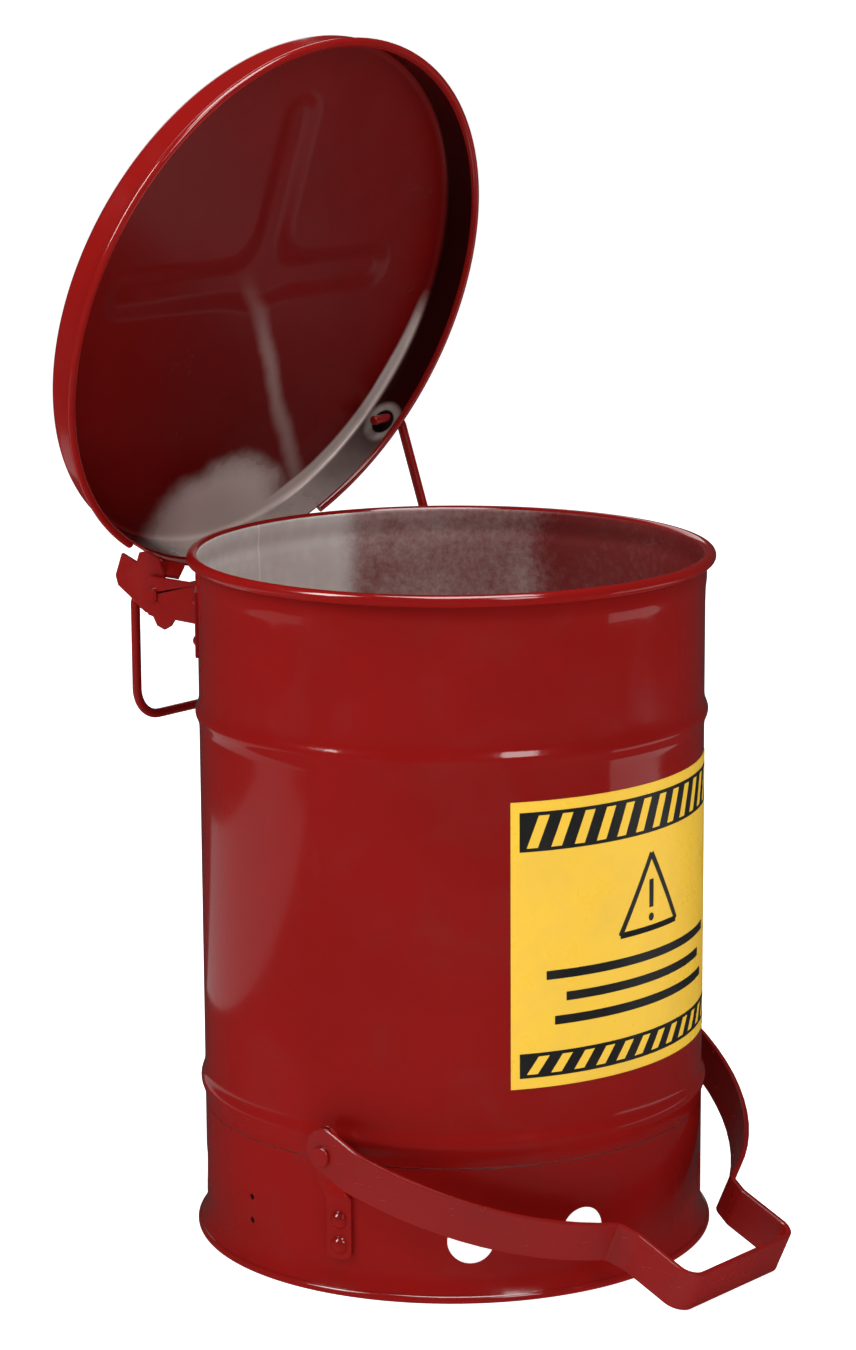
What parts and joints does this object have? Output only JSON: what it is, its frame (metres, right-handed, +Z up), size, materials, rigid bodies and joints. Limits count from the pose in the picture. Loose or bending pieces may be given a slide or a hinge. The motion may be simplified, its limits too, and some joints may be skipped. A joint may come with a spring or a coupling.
{
  "type": "oily waste can",
  "caption": "Round steel waste can on a vented raised base, with a hinged self-closing lid opened by a front foot pedal and lift rod.",
  "frame": {"origin": "centre of the round base, on the floor", "axes": "+Z up along the can, -Y front with the pedal, +Y rear with the lid hinge, +X side with the lift rod"},
  "size_m": [0.3326, 0.4151, 0.6845],
  "materials": {
    "red_enamel": "gloss enamel over steel",
    "label_film": "printed vinyl film",
    "zinc_steel": "zinc plated wire",
    "bare_sheet": "galvanised sheet with red overspray"
  },
  "bodies": {
    "can": {"body_shell": "red_enamel", "base_skirt": "red_enamel", "bottom_pan": "bare_sheet", "label_panel": "label_film", "hinge_saddle": "red_enamel", "saddle_rivets": "red_enamel", "hinge_cheek_near": "red_enamel", "hinge_cheek_far": "red_enamel", "handle_lug_near": "red_enamel", "handle_lug_far": "red_enamel", "hinge_rod": "red_enamel", "hinge_rod_caps": "zinc_steel", "pedal_bracket_near": "red_enamel", "pedal_bracket_far": "red_enamel", "bracket_rivets_near": "red_enamel", "bracket_rivets_far": "red_enamel", "pivot_pin_near": "red_enamel", "pivot_pin_far": "red_enamel", "pivot_nut_near": "zinc_steel", "pivot_nut_far": "zinc_steel"},
    "lid": {"lid_cover": "red_enamel", "lid_hinge_band": "red_enamel", "band_rivets": "red_enamel", "lid_ear_near": "red_enamel", "lid_ear_far": "red_enamel", "ear_flap_near": "red_enamel", "ear_flap_far": "red_enamel"},
    "handle": {"carry_handle": "red_enamel"},
    "pedal": {"pedal_strap": "red_enamel"},
    "rod": {"lift_rod": "red_enamel"}
  },
  "joints": [
    {"name": "lid_hinge", "type": "hinge", "parent": "can", "child": "lid", "pos_m": [0, 0.168, 0.362], "axis": [1, 0, 0], "range_deg": [0, 70.8]},
    {"name": "rod_pivot", "type": "hinge", "parent": "lid", "child": "rod", "pos_m": [0.1335, 0.16565, 0.44325], "axis": [1, 0, 0], "range_deg": [-56, 0]},
    {"name": "pedal_pivot", "type": "hinge", "parent": "can", "child": "pedal", "pos_m": [0, -0.038, 0.084], "axis": [1, 0, 0], "range_deg": [-35.5, 0]},
    {"name": "handle_swing", "type": "hinge", "parent": "can", "child": "handle", "pos_m": [0, 0.19, 0.357], "axis": [1, 0, 0], "range_deg": [-28, 90]}
  ],
  "couplings": [
    {"joint": "rod_pivot", "follows": "lid_hinge", "ratio": -0.787},
    {"joint": "pedal_pivot", "follows": "lid_hinge", "ratio": -0.498}
  ]
}
